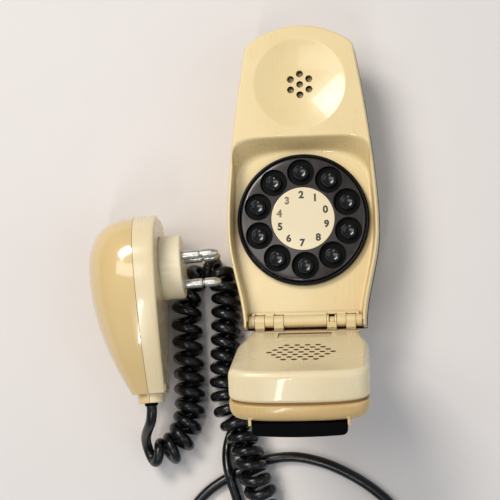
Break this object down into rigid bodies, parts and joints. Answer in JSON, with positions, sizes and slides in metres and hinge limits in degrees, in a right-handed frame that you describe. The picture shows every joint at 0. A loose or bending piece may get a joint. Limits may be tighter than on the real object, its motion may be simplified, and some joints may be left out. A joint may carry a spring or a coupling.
{
  "type": "corded landline phone",
  "caption": "One-piece folding dial telephone with a sprung mouthpiece flap, a push-and-turn dial and a curly cord to a pin plug that holds the ringer.",
  "frame": {"origin": "on the surface that the body's back rests on, straight below the dial's centre", "axes": "+Y towards the ear end, +Z away from the surface, +X to the right of the dial; the flap stands open at its stop"},
  "size_m": [0.1704, 0.3008, 0.1163],
  "materials": {
    "ivory_plastic": "worn gloss",
    "pale_plastic": "satin",
    "black_plastic": "gloss",
    "black_rubber": "matt",
    "cord_vinyl": "gloss",
    "nickel": "worn",
    "plain_steel": "brushed",
    "brass_parts": "satin",
    "winding": "satin",
    "board": "satin",
    "seal": "matt"
  },
  "bodies": {
    "body": {"front_shell": "ivory_plastic", "back_shell": "ivory_plastic", "shell_screws": "plain_steel", "receiver_capsule": "plain_steel", "receiver_seal": "seal", "circuit_board": "board", "speech_transformer": "winding", "board_capacitor": "brass_parts", "terminal_strip": "black_plastic", "body_hinge_block": "ivory_plastic", "hinge_pin": "plain_steel", "hinge_spring": "plain_steel", "hook_switch": "black_plastic", "body_strain_relief": "black_rubber", "dial_bezel": "black_plastic", "dial_plate": "plain_steel", "dial_bush": "brass_parts", "dial_screws": "plain_steel", "stop_lug": "plain_steel", "return_spring": "plain_steel", "governor_cup": "plain_steel", "pulse_contacts": "brass_parts", "cord_lead": "cord_vinyl", "curly_cord": "cord_vinyl", "cord_tail": "cord_vinyl", "plug_cover": "ivory_plastic", "plug_base": "ivory_plastic", "pin_carrier": "pale_plastic", "plug_pins": "nickel", "ringer_frame": "plain_steel", "ringer_coil": "winding", "ringer_capacitor": "brass_parts", "plug_screw": "plain_steel", "plug_strain_relief": "black_rubber"},
    "dial": {"finger_wheel": "black_plastic", "number_disc": "pale_plastic", "wheel_screw": "plain_steel", "dial_shaft": "plain_steel", "main_gear": "brass_parts", "button_springs": "plain_steel"},
    "governor": {"governor_spindle": "brass_parts"},
    "button_1": {"finger_button_1": "black_plastic"},
    "button_2": {"finger_button_2": "black_plastic"},
    "button_3": {"finger_button_3": "black_plastic"},
    "button_4": {"finger_button_4": "black_plastic"},
    "button_5": {"finger_button_5": "black_plastic"},
    "button_6": {"finger_button_6": "black_plastic"},
    "button_7": {"finger_button_7": "black_plastic"},
    "button_8": {"finger_button_8": "black_plastic"},
    "button_9": {"finger_button_9": "black_plastic"},
    "button_0": {"finger_button_0": "black_plastic"},
    "hook": {"hook_plunger": "brass_parts"},
    "flap": {"flap_hinge_block": "ivory_plastic", "flap_inner_shell": "ivory_plastic", "flap_outer_shell": "ivory_plastic", "flap_foot": "black_rubber", "microphone_capsule": "plain_steel", "microphone_seal": "seal", "flap_screws": "plain_steel"},
    "armature": {"ringer_armature": "plain_steel"}
  },
  "joints": [
    {"name": "flap_hinge", "type": "hinge", "parent": "body", "child": "flap", "pos_m": [0, -0.0555, 0.036], "axis": [-1, 0, 0], "range_deg": [0, 107], "stiffness_Nm_per_rad": 0.03, "springref_deg": -20.05, "deforming": ["hinge_spring"]},
    {"name": "dial_turn", "type": "hinge", "parent": "body", "child": "dial", "pos_m": [0, 0, 0.035], "axis": [0, 0, -1], "range_deg": [0, 340], "stiffness_Nm_per_rad": 0.004, "springref_deg": -45.84, "deforming": ["return_spring"]},
    {"name": "governor_spin", "type": "hinge", "parent": "body", "child": "governor", "pos_m": [0, -0.0252, 0.02], "axis": [0, 0, -1], "range_deg": [-2050, 10]},
    {"name": "button_1_press", "type": "slide", "parent": "dial", "child": "button_1", "axis": [0, 0, -1], "range_m": [0, 0.0018], "stiffness_N_per_m": 100, "springref_m": -0.001, "deforming": ["button_springs"]},
    {"name": "button_2_press", "type": "slide", "parent": "dial", "child": "button_2", "axis": [0, 0, -1], "range_m": [0, 0.0018], "stiffness_N_per_m": 100, "springref_m": -0.001, "deforming": ["button_springs"]},
    {"name": "button_3_press", "type": "slide", "parent": "dial", "child": "button_3", "axis": [0, 0, -1], "range_m": [0, 0.0018], "stiffness_N_per_m": 100, "springref_m": -0.001, "deforming": ["button_springs"]},
    {"name": "button_4_press", "type": "slide", "parent": "dial", "child": "button_4", "axis": [0, 0, -1], "range_m": [0, 0.0018], "stiffness_N_per_m": 100, "springref_m": -0.001, "deforming": ["button_springs"]},
    {"name": "button_5_press", "type": "slide", "parent": "dial", "child": "button_5", "axis": [0, 0, -1], "range_m": [0, 0.0018], "stiffness_N_per_m": 100, "springref_m": -0.001, "deforming": ["button_springs"]},
    {"name": "button_6_press", "type": "slide", "parent": "dial", "child": "button_6", "axis": [0, 0, -1], "range_m": [0, 0.0018], "stiffness_N_per_m": 100, "springref_m": -0.001, "deforming": ["button_springs"]},
    {"name": "button_7_press", "type": "slide", "parent": "dial", "child": "button_7", "axis": [0, 0, -1], "range_m": [0, 0.0018], "stiffness_N_per_m": 100, "springref_m": -0.001, "deforming": ["button_springs"]},
    {"name": "button_8_press", "type": "slide", "parent": "dial", "child": "button_8", "axis": [0, 0, -1], "range_m": [0, 0.0018], "stiffness_N_per_m": 100, "springref_m": -0.001, "deforming": ["button_springs"]},
    {"name": "button_9_press", "type": "slide", "parent": "dial", "child": "button_9", "axis": [0, 0, -1], "range_m": [0, 0.0018], "stiffness_N_per_m": 100, "springref_m": -0.001, "deforming": ["button_springs"]},
    {"name": "button_0_press", "type": "slide", "parent": "dial", "child": "button_0", "axis": [0, 0, -1], "range_m": [0, 0.0018], "stiffness_N_per_m": 100, "springref_m": -0.001, "deforming": ["button_springs"]},
    {"name": "hook_press", "type": "slide", "parent": "body", "child": "hook", "axis": [0, 0, 1], "range_m": [0, 0.00176]},
    {"name": "armature_swing", "type": "hinge", "parent": "body", "child": "armature", "pos_m": [-0.10488, -0.0143, 0.03474], "axis": [0.0522, 0.0037, 0.9986], "range_deg": [-2, 2], "stiffness_Nm_per_rad": 0.01}
  ],
  "couplings": [
    {"joint": "governor_spin", "follows": "dial_turn", "ratio": -6},
    {"joint": "hook_press", "follows": "flap_hinge", "m_per_rad": 0.000937}
  ]
}
